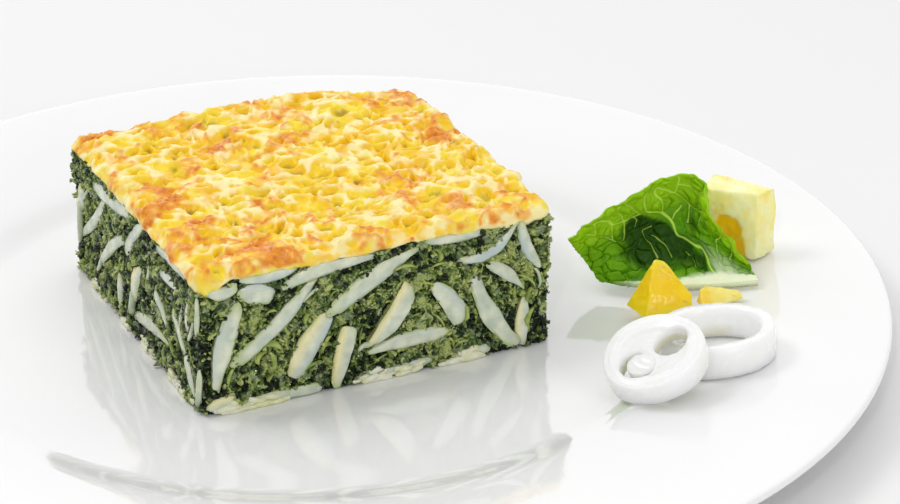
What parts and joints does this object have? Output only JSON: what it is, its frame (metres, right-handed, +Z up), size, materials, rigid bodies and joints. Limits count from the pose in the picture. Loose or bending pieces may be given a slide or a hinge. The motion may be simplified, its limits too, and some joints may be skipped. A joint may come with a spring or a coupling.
{
  "type": "plate of potato and spinach bake",
  "caption": "Square portion of layered potato and spinach bake with a browned cheese crust, on a round rimmed white plate with a lettuce leaf, cheese and onion rings.",
  "frame": {"origin": "centre of the plate, on the surface that its foot ring stands on", "axes": "+Z up; the two cut sides of the bake that show best face -Y and -X, and the garnish lies towards +X and -Y"},
  "size_m": [0.3, 0.3, 0.0461],
  "materials": {
    "porcelain": "glossy white glaze",
    "spinach": "wet chopped leaves, dark green with creamy flecks",
    "potato": "boiled, moist, cool white with pale yellow faces",
    "crust": "melted cheese, yellow with orange-brown peaks",
    "lettuce": "fresh waxy leaf with pale veins",
    "cheese": "smooth, waxy and slightly see-through",
    "onion": "moist, satin and slightly see-through"
  },
  "bodies": {
    "root": {"plate": "porcelain", "spinach_filling": "spinach", "baked_crust": "crust", "lettuce_leaf": "lettuce", "cheese_block": "cheese", "cheese_wedge": "cheese", "cheese_chip": "cheese", "onion_ring_back": "onion", "onion_slice_front": "onion", "potato_front_1": "potato", "potato_front_2": "potato", "potato_front_3": "potato", "potato_front_4": "potato", "potato_front_5": "potato", "potato_front_6": "potato", "potato_front_7": "potato", "potato_front_8": "potato", "potato_front_9": "potato", "potato_front_10": "potato", "potato_front_11": "potato", "potato_front_12": "potato", "potato_front_13": "potato", "potato_front_14": "potato", "potato_front_15": "potato", "potato_front_16": "potato", "potato_front_17": "potato", "potato_front_18": "potato", "potato_front_19": "potato", "potato_front_20": "potato", "potato_front_21": "potato", "potato_front_22": "potato", "potato_left_1": "potato", "potato_left_2": "potato", "potato_left_3": "potato", "potato_left_4": "potato", "potato_left_5": "potato", "potato_left_6": "potato", "potato_left_7": "potato", "potato_left_8": "potato", "potato_left_9": "potato", "potato_left_10": "potato", "potato_left_11": "potato", "potato_left_12": "potato", "potato_left_13": "potato", "potato_left_14": "potato", "potato_right_1": "potato", "potato_right_2": "potato", "potato_right_3": "potato", "potato_right_4": "potato", "potato_right_5": "potato", "potato_right_6": "potato", "potato_right_7": "potato", "potato_back_1": "potato", "potato_back_2": "potato", "potato_back_3": "potato", "potato_back_4": "potato", "potato_back_5": "potato", "potato_back_6": "potato", "potato_back_7": "potato"}
  },
  "joints": []
}
